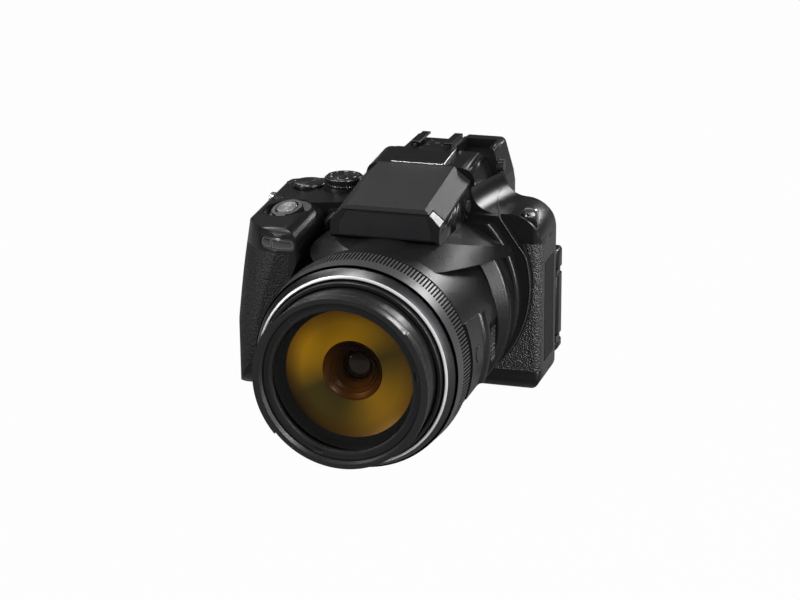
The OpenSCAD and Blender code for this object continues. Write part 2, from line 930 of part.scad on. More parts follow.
module snap_back_button() color("#2c2d30")
    at_snap() translate([0, 0, barrel_r - 0.2]) cylinder(r = snap_r, h = step_r - barrel_r + 0.6);

rocker_size = [7, 17];
rocker_at = [flare_y - 14, axis_h - 5];
rocker_t = 3.2;
rocker_play = 2.6;
rocker_in = flat_x - 1.3;
rib_step = 2.2;
rib_cut = 0.9;
module rocker_slot()
    translate([rocker_in - gap, rocker_at[0] - rocker_size[0] / 2 - gap,
        rocker_at[1] - rocker_size[1] / 2 - rocker_play])
        cube([far, rocker_size[0] + 2 * gap, rocker_size[1] + 2 * rocker_play]);

module side_zoom_rocker() color("#26272a")
    difference() {
        translate([rocker_in, rocker_at[0] - rocker_size[0] / 2, rocker_at[1] - rocker_size[1] / 2])
            cube([rocker_t, rocker_size[0], rocker_size[1]]);
        for (i = [-3:3])
            translate([rocker_in + rocker_t, rocker_at[0], rocker_at[1] + i * rib_step])
                rotate([0, 45, 0]) cube([rib_cut, rocker_size[0] + over, rib_cut], center = true);
    }

bezel_r = ring_r - ring_fall - 1.1;
module lens_bezel() color("#c9cbcd")
    lens_turn() polygon([[bore_r, bezel_y + 0.6], [bore_r + 0.6, bezel_y], [bore_r + 1.3, bezel_y],
        [bezel_r, ring_y - 1.2], [bezel_r, ring_y], [bore_r, ring_y]]);

// Ribbed control ring, grooves cut along its whole length
module control_ring() color("#191a1c")
    intersection() {
        along_y(ring_y + gap, band_y - gap) translate([0, axis_h]) difference() {
            circle(ring_r + over);
            circle(seat_r + gap);
            for (i = [0:rib_count - 1])
                rotate(i * 360 / rib_count) translate([ring_r - rib_depth, 0])
                    square([2 * over + rib_depth, 0.9], center = false);
        }
        lens_turn() polygon([[0, ring_y], [ring_r - ring_fall, ring_y], [ring_r, band_y - 2],
            [ring_r, band_y], [0, band_y]]);
    }

// Sliding barrels
module mid_barrel() color("#141517")
    lens_turn() polygon([[mid_in, mid_y + 0.8], [mid_in + 0.8, mid_y], [mid_r, mid_y], [mid_r, mid_end],
        [mid_in, mid_end]]);

module front_barrel() color("#17181a")
    lens_turn() polygon([[aperture_r, name_y], [rim_seat_r, name_y], [rim_seat_r, rim_end],
        [front_r, rim_end], [front_r, front_end], [front_r - front_wall, front_end],
        [front_r - front_wall, name_y + glass_seat], [aperture_r, name_y + glass_seat]]);

claw_span = 81;
claw_len = rim_len - 2;
module claw_sectors()
    for (s = [-1, 1])
        along_y(front_y - over, front_y + claw_len) translate([0, axis_h])
            polygon([[0, 0], [s * far, -far * tan(claw_span / 2)], [s * far, far * tan(claw_span / 2)]]);

module filter_ring() color("#1a1b1d")
    difference() {
        union() {
            lens_turn() tube(rim_seat_r - 1, front_r, front_y, rim_end);
            intersection() {
                lens_turn() tube(front_r - 1, front_r + claw_out, front_y, rim_end);
                claw_sectors();
            }
        }
        lens_turn() polygon([[0, front_y - over], [filter_r, front_y - over], [filter_r, name_y],
            [rim_seat_r, name_y], [rim_seat_r, rim_end + over], [0, rim_end + over]]);
    }

glass_t = 7;
glass_sag = glass_seat - 0.2;
glass_y = name_y + glass_seat;
glass_round = (pow(aperture_r, 2) + pow(glass_sag, 2)) / (2 * glass_sag);
module front_lens() color("#8a6a2a", 0.6)
    lens_turn() union() {
        tube(0, front_r - front_wall, glass_y, glass_y + glass_t);
        intersection() {
            translate([0, glass_y - glass_sag + glass_round]) circle(glass_round, $fn = 360);
            translate([0, glass_y - glass_sag - over]) square([aperture_r - 0.1, glass_sag + 2 * over]);
        }
    }

// Second glass as a wide dish, the stepped cell behind it and a small deep element
dish_y = glass_y + glass_t + 1.9;
dish_r = 30.8;
cell_r = 14;
cell_y = dish_y + 4.4;
deep_r = 7.4;
deep_y = cell_y + 7;
cell_wall = 2;
module inner_lens_cell() color("#6a4c18")
    lens_turn() polygon([[0, deep_y], [deep_r, deep_y + 2], [deep_r, cell_y + 6], [cell_r, cell_y],
        [dish_r, dish_y], [dish_r + 2, dish_y - 0.6], [front_r - front_wall, dish_y - 0.6],
        [front_r - front_wall, cell_y + 2], [cell_r + cell_wall, cell_y + 5],
        [cell_r + cell_wall, deep_y + 12], [0, deep_y + 12]]);

// Front of the hump: flash cover on a slope that rises to the rear
lip_lean = 2.5;
lip_y = -hump_reach + lip_lean;
plate_foot = hump_foot + 1.9;
flash_len = 52;
flash_split = chamfer_h + 2;
lip_t = 2.5;
front_wall_t = 4.4;
hinge_y = lip_y + flash_len * cos(rise_angle);
hinge_h = lip_h + flash_len * sin(rise_angle);
module on_slope()
    translate([0, lip_y, lip_h]) rotate([rise_angle, 0, 0]) children();

module front_side_outline()
    polygon([[-hump_reach, plate_foot], [lip_y, lip_h], [hinge_y, hinge_h], [hinge_y + 4, hinge_h],
        [hinge_y + 4, hump_foot], [-hump_reach + 2, hump_foot]]);

module chamfer_prism()
    on_slope() along_y(-10, flash_len) polygon([[-hump_w / 2, -60], [hump_w / 2, -60],
        [hump_w / 2, -chamfer_h], [flash_w / 2, 0], [-flash_w / 2, 0], [-hump_w / 2, -chamfer_h]]);

// Seen from above the left flank sweeps out towards the eyepiece
sweep_r = 190;
sweep_y = -35;
block_half = 37.5;
module hump_plan()
    difference() {
        translate([-block_half, -hump_reach]) square([2 * block_half, block_back + hump_reach]);
        translate([hump_w / 2 + sweep_r, sweep_y]) circle(sweep_r, $fn = 360);
        translate([hump_w / 2, sweep_y - far]) square([far, far]);
        translate([-hump_w / 2 - far, -far]) square([far, 2 * far]);
    }

module front_form()
    intersection() {
        along_x(-far, far) front_side_outline();
        union() {
            chamfer_prism();
            on_slope() box([-far, -far, -far], [far, far, -flash_split]);
        }
        linear_extrude(far) hump_plan();
    }

// Rear of the hump: rounded wings, the deck for the shoe and the eyepiece block
wing_h = hinge_h - 0.8;
wing_rise = 4.6;
wing_end = 17;
wing_half = [24.6, 26.5];
deck_h = [hinge_h, hinge_h + 2, hinge_h + 2.6];
block_h = hump_foot + 28.2;
block_low = hump_foot + 19.6;
block_side = [hump_foot + 12, hump_foot + 10.7];
module rear_form()
    union() {
        intersection() {
            translate([0, hinge_y, wing_h]) rotate([wing_rise, 0, 0]) along_y(-10, far)
                rounded([[-wing_half[0] - 8, -25], [wing_half[1] + 12, -25], [wing_half[1], 0],
                    [-wing_half[0], 0]], [0, 0, 6, 6]);
            linear_extrude(far) hump_plan();
            box([-far, hinge_y - 3, hump_foot], [far, wing_end, far]);
        }
        along_x(-deck_w / 2, deck_w / 2) polygon([[hinge_y - 3, hump_foot], [hinge_y - 3, hinge_h],
            [hinge_y, deck_h[0]], [10, deck_h[1]], [block_back, deck_h[2]], [block_back, hump_foot]]);
        intersection() {
            along_y(wing_end, block_back) rounded([[-38.5, hump_foot], [38.5, hump_foot],
                [36.6, block_side[0]], [32, block_h], [deck_w / 2, block_h], [deck_w / 2, block_low],
                [-26, block_low], [-34, block_side[1]]], [0, 0, 0, 3, 0, 0, 4, 0]);
            linear_extrude(far) hump_plan();
        }
    }

// Neck that stands on the barrel under the front plate
neck_half = 20.5;
module neck()
    difference() {
        box([-neck_half, -hump_reach + 4, axis_h + 36], [neck_half, collar_y - 1, hump_foot + 2]);
        barrel_form(0.1);
    }

// The part of the hump that tips up: above the split, behind the front wall,
// whose back stays clear of the swing of the cover's lower front edge
cover_front = front_wall_t + 1.2;
swing_reach = norm([flash_len - cover_front, flash_split - gap]);
wall_back = flash_len - swing_reach - gap;
module flash_zone(more, front)
    on_slope() union() {
        box([-far, front, -flash_split + gap - more], [far, flash_len - gap + more, far]);
        box([-far, -far, -lip_t + gap - more], [far, front_wall_t + 2, far]);
    }

// Hinge bar along the rear edge of the flash cover
bar_r = 0.9;
bar_half = deck_w / 2 - 0.3;
module hinge_bar(more)
    along_x(-bar_half - 6 * more, bar_half + 6 * more) translate([hinge_y, hinge_h]) circle(bar_r + more);

evf_half = [12.5, 5.5];
evf_z = hump_foot + 10.5;
evf_y = 12;
pocket_x = 16;
pocket_y = [8, 44];
pocket_z = 15;
mic_pocket = [[14.4, wing_end - 0.5, block_h - 4.8], [30, 33, far]];
module viewfinder_housing() color("#1c1d20")
    difference() {
        union() {
            difference() {
                front_form();
                barrel_form(0.1);
            }
            rear_form();
            neck();
        }
        flash_zone(gap, wall_back);
        hinge_bar(pin_gap);
        on_slope() box([-pocket_x - 0.4, pocket_y[0] - 2.9, -pocket_z - 0.6],
            [pocket_x + 0.4, pocket_y[1] + 0.6, 0]);
        box([-evf_half[0], evf_y, evf_z - evf_half[1]],
            [evf_half[0], block_back + over, evf_z + evf_half[1]]);
        box([-shoe_w / 2 - 0.2, shoe_y[0] - 0.2, shoe_floor - shoe_t],
            [shoe_w / 2 + 0.2, block_back + over, far]);
        box(mic_pocket[0], mic_pocket[1]);
        at_diopter() translate([0, 0, -2]) cylinder(r = diopter_r + 0.4, h = 20);
        at_flash_button() translate([0, 0, -1.9]) cylinder(r = flash_button_r + gap, h = 20);
        plate_prism(over);
    }

// Bare front plate where a badge would sit
plate_t = 1.2;
plate_half = [22.6, 19.6];
plate_h = [0.4, 11.2];
module on_front()
    translate([0, -hump_reach, plate_foot])
        rotate([90 - atan(lip_lean / (lip_h - plate_foot)), 0, 0]) children();

module plate_prism(more)
    on_front() translate([0, 0, -plate_t]) linear_extrude(plate_t + more)
        polygon([[-plate_half[0], plate_h[0]], [plate_half[0], plate_h[0]], [plate_half[0], plate_h[0] + 4],
            [plate_half[1], plate_h[1]], [-plate_half[1], plate_h[1]], [-plate_half[0], plate_h[0] + 4]]);

module front_plate() color("#141518")
    plate_prism(0);

// Flash head: the whole top of the hump, hinged at its rear edge
window_half = 12;
module flash_head() color("#1a1b1e")
    difference() {
        union() {
            intersection() {
                front_form();
                flash_zone(0, cover_front);
            }
            on_slope() box([-pocket_x, pocket_y[0], -pocket_z], [pocket_x, pocket_y[1], -chamfer_h]);
            hinge_bar(0);
        }
        on_slope() box([-window_half, -far, -pocket_z + 1.4],
            [window_half, pocket_y[0] + 2, -flash_split - 0.4]);
    }

module flash_window() color("#d8d8d2", 0.7)
    on_slope() box([-window_half, pocket_y[0] + 0.2, -pocket_z + 1.4],
        [window_half, pocket_y[0] + 2, -flash_split - 0.4]);

// Accessory shoe with its lips
shoe_w = 21.2;
shoe_slot = 18.7;
shoe_mouth = 12.6;
shoe_gap = 2.05;
shoe_t = 0.7;
shoe_lip = 1.15;
shoe_top = hinge_h + 4.6;
shoe_floor = shoe_top - shoe_lip - shoe_gap;
shoe_y = [17, 38];
module accessory_shoe() color("#b4b6b8")
    along_y(shoe_y[0], shoe_y[1]) difference() {
        translate([-shoe_w / 2, shoe_floor - shoe_t]) square([shoe_w, shoe_top - shoe_floor + shoe_t]);
        translate([-shoe_slot / 2, shoe_floor]) square([shoe_slot, shoe_gap]);
        translate([-shoe_mouth / 2, shoe_floor]) square([shoe_mouth, far]);
    }

module shoe_contacts() color("#c8a24a")
    union() {
        translate([0, 28, shoe_floor]) cylinder(r = 1.3, h = 0.2);
        for (x = [-4, 4], y = [24, 32]) translate([x, y, shoe_floor]) cylinder(r = 0.8, h = 0.2);
    }

module eyecup() color("#121314")
    along_y(block_back, block_back + eyecup_len) translate([0, evf_z]) difference() {
        round_rect(-20, -10, 20, 9.6, [6, 6, 6, 6]);
        round_rect(-13.4, -6.2, 13.4, 6.2, [4, 4, 4, 4]);
    }

module eyepiece_lens() color("#90a0b0", 0.5)
    box([-evf_half[0] + 0.2, block_back - 5, evf_z - evf_half[1] + 0.2],
        [evf_half[0] - 0.2, block_back - 1, evf_z + evf_half[1] - 0.2]);

module evf_display() color("#0e1012")
    box([-evf_half[0] + 0.2, evf_y, evf_z - evf_half[1] + 0.2],
        [evf_half[0] - 0.2, evf_y + 2.5, evf_z + evf_half[1] - 0.2]);

diopter_r = 2.9;
diopter_h = 3.6;
module at_diopter()
    translate([35.2, 20, shoulder_h + saddle_r + diopter_r + 0.7]) rotate([0, 90, 0]) children();

module diopter_knob() color("#26272a")
    at_diopter() translate([0, 0, -1.7]) knurled(diopter_r, diopter_h, 18, 0.35);

flash_button_r = 3;
module at_flash_button()
    translate([27.75, -16.6, hump_foot + 7]) rotate([0, 90, -5.6]) children();

module flash_button() color("#2a2b2e")
    at_flash_button() translate([0, 0, -1]) cylinder(r = flash_button_r, h = 2.2);

// Folding screen: an arm between two ears of the rear cover carries the panel
panel_gap = 1.2;
panel_x = left_side + 0.4;
panel_edge_r = 3;
panel_lo = [panel_x - panel_w, body_back + panel_gap, panel_z];
panel_hi = panel_lo + [panel_w, panel_t, panel_h];
swing_at = [panel_x - panel_t / 2, panel_lo[1] + panel_t / 2];
ear_z = [panel_z + 8, panel_z + 46];
ear_t = 3;
ear_half = [3.2, 5];
arm_w = 10.4;
arm_pin_r = 1.2;
tilt_pin_r = 1.5;
tilt_pin_len = 6;
tilt_z = (ear_z[0] + ear_z[1]) / 2;
module hinge_ears()
    for (z = [ear_z[0], ear_z[1] - ear_t])
        translate([0, 0, z]) linear_extrude(ear_t)
            round_rect(swing_at[0] - ear_half[0], body_back - 1, swing_at[0] + ear_half[1], swing_at[1] + 2.4,
                [0, 0, 2, 2]);

module hinge_pin(more)
    translate([swing_at[0], swing_at[1], ear_z[0] - over])
        cylinder(r = arm_pin_r + more, h = ear_z[1] - ear_z[0] + 2 * over);

module screen_plan()
    round_rect(panel_lo[0], panel_lo[1], panel_hi[0], panel_hi[1], [1.5, panel_edge_r, panel_edge_r, 1.5]);

module monitor_arm() color("#1d1e20")
    union() {
        intersection() {
            linear_extrude(far) screen_plan();
            box([panel_x - arm_w, -far, ear_z[0] + ear_t + gap], [far, far, ear_z[1] - ear_t - gap]);
        }
        translate([swing_at[0], swing_at[1], ear_z[0] + 0.3])
            cylinder(r = arm_pin_r, h = ear_z[1] - ear_z[0] - 0.6);
        translate([panel_x - arm_w - tilt_pin_len, swing_at[1], tilt_z]) rotate([0, 90, 0])
            cylinder(r = tilt_pin_r, h = tilt_pin_len + over);
    }

frame_w = 5;
screen_deep = 1.2;
module screen_window(y1)
    box([panel_lo[0] + frame_w, panel_hi[1] - screen_deep, panel_lo[2] + 3.5],
        [panel_x - arm_w - 2.5, y1, panel_hi[2] - 3.5]);

module monitor_panel() color("#1a1b1d")
    difference() {
        intersection() {
            linear_extrude(far) screen_plan();
            along_y(-far, far)
                rounded([[panel_lo[0], panel_lo[2]], [panel_hi[0] - 4, panel_lo[2]],
                    [panel_hi[0], panel_lo[2] + 4], [panel_hi[0], panel_hi[2]],
                    [panel_lo[0], panel_hi[2]]], [3, 2, 2, 2, 3]);
        }
        box([panel_x - arm_w - 0.2, -far, ear_z[0] - gap], [far, far, ear_z[1] + gap]);
        translate([panel_x - arm_w - tilt_pin_len - 0.2, swing_at[1], tilt_z]) rotate([0, 90, 0])
            cylinder(r = tilt_pin_r, h = tilt_pin_len + over);
        screen_window(far);
    }

module monitor_screen() color("#0c0d0f")
    screen_window(panel_hi[1] - 0.3);

// Controls on the rear
selector_at = [-50, 34];
play_at = [-36, grip_seam_h - 17.5];
menu_at = [-37, 14];
delete_at = [-64, 14];
movie_at = [-38, grip_seam_h - 5];
display_at = [-47, grip_seam_h - 21.5];
lock_at = [-59, grip_seam_h - 11.5];
viewfinder_at = [46, seam_h - 6.3];
rear_r = 3.2;
rear_deep = 3.4;
rear_out = 1;
ok_r = 5;
ring_gap_r = 5.8;
selector_t = 2.4;
lever_ring = [4.2, 7.2];
module on_rear(at, y)
    translate([at[0], y, at[1]]) rotate([-90, 0, 0]) children();

module rear_hole(at, y, r)
    on_rear(at, y - rear_deep) cylinder(r = r + gap, h = 12);

module rear_button(at, y, r)
    on_rear(at, y - rear_deep + press + 0.3) cylinder(r = r, h = rear_deep + rear_out - press - 0.3);

module rear_holes() {
    for (at = [play_at, menu_at, delete_at, movie_at, display_at, lock_at])
        rear_hole(at, thumb_y, rear_r);
    rear_hole(viewfinder_at, body_back, rear_r);
    rear_hole(selector_at, thumb_y, ok_r);
    on_rear(selector_at, thumb_y - selector_t + 1) cylinder(r = selector_r + gap, h = 12);
}

module play_button() color("#26272a") rear_button(play_at, thumb_y, rear_r);
module menu_button() color("#26272a") rear_button(menu_at, thumb_y, rear_r);
module delete_button() color("#26272a") rear_button(delete_at, thumb_y, rear_r);
module movie_button() color("#26272a") rear_button(movie_at, thumb_y, rear_r);
module display_button() color("#26272a") rear_button(display_at, thumb_y, rear_r);
module lock_button() color("#26272a") rear_button(lock_at, thumb_y, rear_r);
module viewfinder_button() color("#26272a") rear_button(viewfinder_at, body_back, rear_r);
module ok_button() color("#2b2c2f") rear_button(selector_at, thumb_y, ok_r);

module selector_dial() color("#222326")
    on_rear(selector_at, thumb_y - selector_t + 1 + gap) linear_extrude(selector_t) difference() {
        circle(selector_r);
        circle(ring_gap_r);
        for (i = [0:35]) rotate(i * 10) translate([selector_r, 0]) circle(0.3, $fn = 4);
    }

module focus_lever() color("#26272a")
    on_rear(lock_at, thumb_y + gap) linear_extrude(1.6) difference() {
        union() {
            circle(lever_ring[1]);
            translate([-1.6, -lever_ring[1] - 2]) square([3.2, 4]);
        }
        circle(lever_ring[0]);
    }

rest_x = [-74.6, -67.4];
rest_z = [40, grip_seam_h - 3.5];
rest_r = 3;
module thumb_rest() color("#161719")
    along_y(thumb_y, thumb_y + skin)
        round_rect(rest_x[0], rest_z[0], rest_x[1], rest_z[1], [rest_r, rest_r, rest_r, rest_r]);

front_cover();
grip_body();
rear_cover();
top_cover();
base_plate();
tripod_bushing();
lens_housing();
lens_bezel();
grip_rubber();
side_rubber();
viewfinder_housing();
front_plate();
accessory_shoe();
shoe_contacts();
eyecup();
eyepiece_lens();
evf_display();
strap_lugs();
af_lamp_window();
image_sensor();
main_board();
battery();
memory_card();
connector_sockets();
zoom_motor();
cover_screws();
thumb_rest();
control_ring();
mid_barrel();
front_barrel();
filter_ring();
front_lens();
inner_lens_cell();
zoom_lever();
shutter_button();
power_button();
fn_button();
mode_dial();
command_dial();
flash_head();
flash_window();
flash_button();
diopter_knob();
monitor_arm();
monitor_panel();
monitor_screen();
side_zoom_rocker();
snap_back_button();
connector_cover();
battery_door();
selector_dial();
ok_button();
movie_button();
display_button();
viewfinder_button();
focus_lever();
lock_button();
play_button();
menu_button();
delete_button();
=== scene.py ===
import math

import bpy
from mathutils import Matrix, Vector


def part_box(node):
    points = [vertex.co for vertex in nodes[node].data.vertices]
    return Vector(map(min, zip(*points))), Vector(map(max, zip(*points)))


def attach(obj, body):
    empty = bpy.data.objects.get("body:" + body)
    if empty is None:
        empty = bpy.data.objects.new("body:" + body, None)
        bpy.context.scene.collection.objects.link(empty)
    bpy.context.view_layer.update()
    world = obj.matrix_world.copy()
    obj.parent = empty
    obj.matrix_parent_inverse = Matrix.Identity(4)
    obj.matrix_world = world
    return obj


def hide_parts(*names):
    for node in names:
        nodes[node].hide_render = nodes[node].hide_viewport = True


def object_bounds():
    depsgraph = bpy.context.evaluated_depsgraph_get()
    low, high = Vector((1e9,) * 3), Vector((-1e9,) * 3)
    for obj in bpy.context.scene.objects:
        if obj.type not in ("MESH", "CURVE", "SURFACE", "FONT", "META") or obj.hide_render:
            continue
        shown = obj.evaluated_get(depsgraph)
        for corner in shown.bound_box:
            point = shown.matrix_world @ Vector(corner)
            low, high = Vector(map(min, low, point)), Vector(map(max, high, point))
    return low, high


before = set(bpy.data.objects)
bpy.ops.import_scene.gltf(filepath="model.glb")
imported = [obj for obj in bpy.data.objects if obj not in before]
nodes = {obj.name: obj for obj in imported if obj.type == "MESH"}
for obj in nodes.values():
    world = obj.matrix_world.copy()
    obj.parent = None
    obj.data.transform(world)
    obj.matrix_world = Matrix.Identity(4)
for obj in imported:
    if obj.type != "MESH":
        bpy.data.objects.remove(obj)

cad_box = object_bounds()


# Front and rear covers and the grip core: glass-filled black plastic, moulded
# with a fine spark-eroded grain and screwed together from the inside.
mm = 0.001


class Sock:
    """An output socket; arithmetic on it adds Math nodes to its material."""

    def __init__(self, socket):
        self.socket = socket

    def node(self, kind, settings, sockets, out=0):
        made = self.socket.id_data.nodes.new(kind)
        for key, value in settings.items():
            if key == "stops":
                ramp = made.color_ramp.elements
                while len(ramp) < len(value):
                    ramp.new(0.5)
                for stop, (position, colour) in zip(ramp, value):
                    stop.position = position
                    stop.color = (*colour, 1)
            else:
                setattr(made, key, value)
        for key, value in sockets.items():
            if isinstance(value, Sock):
                made.id_data.links.new(value.socket, made.inputs[key])
            else:
                made.inputs[key].default_value = value
        return Sock(made.outputs[out])

    def math(self, operation, *values):
        return self.node("ShaderNodeMath", {"operation": operation}, dict(enumerate(values)))

    def of(self, operation, *others):
        """This value, then the others, put through one Math node."""
        return self.math(operation, self, *others)

    def __add__(self, other):
        return self.of("ADD", other)

    def __sub__(self, other):
        return self.of("SUBTRACT", other)

    def __rsub__(self, other):
        return self.math("SUBTRACT", other, self)

    def __mul__(self, other):
        return self.of("MULTIPLY", other)

    def __pow__(self, other):
        return self.of("POWER", other)

    __radd__ = __add__
    __rmul__ = __mul__

    def along(self, axis):
        """Millimetres along one axis of the frame, for a place."""
        return self.node("ShaderNodeSeparateXYZ", {}, {0: self}, axis) * 1000

    def noise(self, size, detail=2):
        """Noise whose lumps are about size millimetres across."""
        return self.node("ShaderNodeTexNoise", {},
                         {"Vector": self, "Scale": 1000 / size, "Detail": detail})

    def between(self, low, high):
        """Colour that runs from low to high as this value runs from 0 to 1."""
        low, high = (end if isinstance(end, Sock) else (*end, 1) for end in (low, high))
        return self.node("ShaderNodeMix", {"data_type": "RGBA"}, {0: self, 6: low, 7: high}, 2)

    def bump(self, height):
        """Normal of a surface whose relief is this value times height millimetres."""
        return self.node("ShaderNodeBump", {}, {"Height": self, "Distance": height * mm})

    def into(self, surface, socket):
        self.socket.id_data.links.new(self.socket, surface.inputs[socket])


def finish(name, **constants):
    """A new material, its surface shader and the place of each point in the frame."""
    material = bpy.data.materials.new(name)
    material.use_nodes = True
    tree = material.node_tree
    surface = tree.nodes["Principled BSDF"]
    for socket, value in constants.items():
        surface.inputs[socket.replace("_", " ")].default_value = value
    return material, surface, Sock(tree.nodes.new("ShaderNodeTexCoord").outputs["Object"])


def moulded(name, colour, rough, grain=0.5, relief=0.035, level=0.35):
    """Moulded plastic: eroded grain, slight mottling and uneven gloss."""
    material, surface, place = finish(name, Specular_IOR_Level=level)
    mottle = place.noise(9)
    fine = place.noise(grain, 3)
    dark = [0.8 * c for c in colour]
    light = [1.25 * c for c in colour]
    (mottle * 0.5 + fine * 0.5).between(dark, light).into(surface, "Base Color")
    (rough - 0.08 + mottle * 0.08 + fine * 0.08).into(surface, "Roughness")
    fine.bump(relief).into(surface, "Normal")
    return material


def dress(material, *names):
    """Give solids one material."""
    for name in names:
        nodes[name].data.materials.clear()
        nodes[name].data.materials.append(material)


weld_gap = 1e-6
flat_angle = math.radians(0.05)
edge_angle = math.radians(28)


def soften(radius, *names):
    """Round the moulded edges of solids by a radius in millimetres."""
    for name in names:
        solid = nodes[name]
        weld = solid.modifiers.new("weld", "WELD")
        weld.merge_threshold = weld_gap
        flat = solid.modifiers.new("flat", "DECIMATE")
        flat.decimate_type = "DISSOLVE"
        flat.angle_limit = flat_angle
        edge = solid.modifiers.new("edge", "BEVEL")
        edge.width = radius * mm
        edge.segments = 3
        edge.limit_method = "ANGLE"
        edge.angle_limit = edge_angle
        edge.use_clamp_overlap = True
        edge.harden_normals = True
        edge.miter_outer = "MITER_ARC"


cover_black = moulded("cover_black", (0.0055, 0.0055, 0.006), 0.3, level=0.4)
dress(cover_black, "front_cover", "rear_cover", "grip_body", "battery_door")
soften(0.4, "front_cover", "rear_cover", "grip_body", "battery_door")


# Base plate, tripod bushing and base screws: a black-coated plate let into the
# covers, a turned steel bushing pressed through it, and four small screws.
def turned_metal(name, colour, rough, metal=1.0, line=0.12):
    """Metal with the fine parallel lines of turning or brushing along Y."""
    material, surface, place = finish(name, Metallic=metal)
    stretched = place.node("ShaderNodeVectorMath", {"operation": "MULTIPLY"},
                           {0: place, 1: (0.05, 1, 0.05)})
    lines = stretched.noise(line, 2)
    cloud = place.noise(6)
    dark = [0.88 * c for c in colour]
    light = [min(1.0, 1.08 * c) for c in colour]
    lines.between(dark, light).into(surface, "Base Color")
    (rough - 0.06 + lines * 0.08 + cloud * 0.06).into(surface, "Roughness")
    lines.bump(0.006).into(surface, "Normal")
    return material


bare_steel = turned_metal("bare_steel", (0.56, 0.56, 0.55), 0.28)
plate_black = moulded("plate_black", (0.014, 0.014, 0.015), 0.5, 0.3, 0.02)
dress(plate_black, "base_plate")
dress(bare_steel, "tripod_bushing", "cover_screws")
soften(0.3, "base_plate", "tripod_bushing")


# Grip and side rubbers: thin leather-grained skins bonded into shallow
# recesses of the covers, with the same skin under the thumb.
def leatherette(name, colour, cell, height, gloss):
    """Pebbled leather grain with soft valleys between the pebbles; painted shade darkens the valleys
    and painted highlight lightens the pebble crowns.
    """
    material, surface, place = finish(name, Specular_IOR_Level=gloss)
    sway = 0.0011
    drift = place.node("ShaderNodeTexNoise", {}, {"Vector": place, "Scale": 330, "Detail": 2}, 1)
    swept = place.node("ShaderNodeVectorMath", {"operation": "MULTIPLY_ADD"},
                       {0: drift, 1: (sway, sway, sway), 2: place})
    pebble = place.node("ShaderNodeTexVoronoi", {"feature": "SMOOTH_F1"},
                        {"Vector": swept, "Scale": 1000 / cell, "Smoothness": 0.35})
    crown = 1 - pebble ** 1.6
    fine = place.noise(0.3, 2)
    relief = crown + fine * 0.12
    # Painted light: the colour follows the relief, darker in the valleys as painted shade and lighter
    # on the pebble crowns as painted highlight.
    valley_shade = [0.4 * c for c in colour]
    crown_highlight = [1.5 * c for c in colour]
    relief.between(valley_shade, crown_highlight).into(surface, "Base Color")
    (0.6 - crown * 0.22 + fine * 0.06).into(surface, "Roughness")
    relief.bump(height).into(surface, "Normal")
    return material


grip_skin = leatherette("grip_skin", (0.005, 0.005, 0.0055), 1.0, 0.36, 0.4)
side_skin = leatherette("side_skin", (0.009, 0.009, 0.0098), 0.85, 0.62, 0.95)
dress(grip_skin, "grip_rubber", "thumb_rest")
dress(side_skin, "side_rubber")
soften(0.3, "grip_rubber", "side_rubber", "thumb_rest")


# Top cover: one moulding with both shoulders, the brow over the grip and the
# seats of the dials, in the same grained plastic as the other covers.
dress(cover_black, "top_cover")
soften(0.5, "top_cover")


# Lamp window: a smoked pill-shaped cover in the brow of the grip, moulded in
# two fields with a dark web between them and fine ribs behind the glass.
lamp_smoke, lamp_surface, lamp_place = finish("lamp_smoke", Specular_IOR_Level=0.5,
                                              Coat_Weight=0.5)
lamp_low, lamp_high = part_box("af_lamp_window")
lamp_mid = (lamp_low + lamp_high) / (2 * mm)
lamp_half = (lamp_high - lamp_low) / (2 * mm)
lamp_border = 0.9
lamp_web_half = 0.35
lamp_edge_w = 0.35
lamp_frame_w = 0.45
lamp_x = lamp_place.along(0) - lamp_mid.x
lamp_z = lamp_place.along(2) - lamp_mid.z
lamp_past = (lamp_x.of("ABSOLUTE") - (lamp_half.x - lamp_half.z)).of("MAXIMUM", 0.0)
lamp_inset = lamp_half.z - (lamp_past * lamp_past + lamp_z * lamp_z) ** 0.5
lamp_web = (lamp_x + 0.3 * lamp_half.x).of("ABSOLUTE") - lamp_web_half
lamp_depth = (lamp_inset - lamp_border).of("MINIMUM", lamp_web)
lamp_field = lamp_depth.of("GREATER_THAN", 0.0)
# Painted highlight: a light line along the inner rim of each field, and a fainter one along the outer
# rim of the window.
lamp_edge_highlight = lamp_depth.of("LESS_THAN", lamp_edge_w) * lamp_field
lamp_frame_highlight = lamp_inset.of("LESS_THAN", lamp_frame_w)
# Painted light: the window is lighter towards its bottom, and its rib stripes, strongest low down,
# fade upwards with it.
lamp_ribs = (lamp_x * 5).of("SINE") * 0.25
lamp_painted_light = 0.35 - lamp_z * 0.22 + lamp_ribs * (0.3 - lamp_z * 0.3)
lamp_tone = lamp_painted_light.between((0.016, 0.016, 0.017), (0.085, 0.085, 0.088))
lamp_tone = lamp_field.between((0.008, 0.008, 0.008), lamp_tone)
lamp_rim_highlight = lamp_edge_highlight + lamp_frame_highlight * 0.5
lamp_rim_highlight.between(lamp_tone, (0.13, 0.13, 0.135)).into(lamp_surface, "Base Color")
(0.32 - lamp_field * 0.16).into(lamp_surface, "Roughness")
dress(lamp_smoke, "af_lamp_window")
soften(0.25, "af_lamp_window")


# Strap lugs: pressed steel loops, polished by tumbling, fixed in pockets of
# the top cover.
dress(bare_steel, "strap_lugs")
soften(0.35, "strap_lugs")


# Lens housing: the fixed barrel, its flare and the control pod are one
# moulding in satin black with a soft-touch coat.
coat_black = moulded("coat_black", (0.006, 0.006, 0.0065), 0.29, 0.6, 0.03, 0.45)
dress(coat_black, "lens_housing")


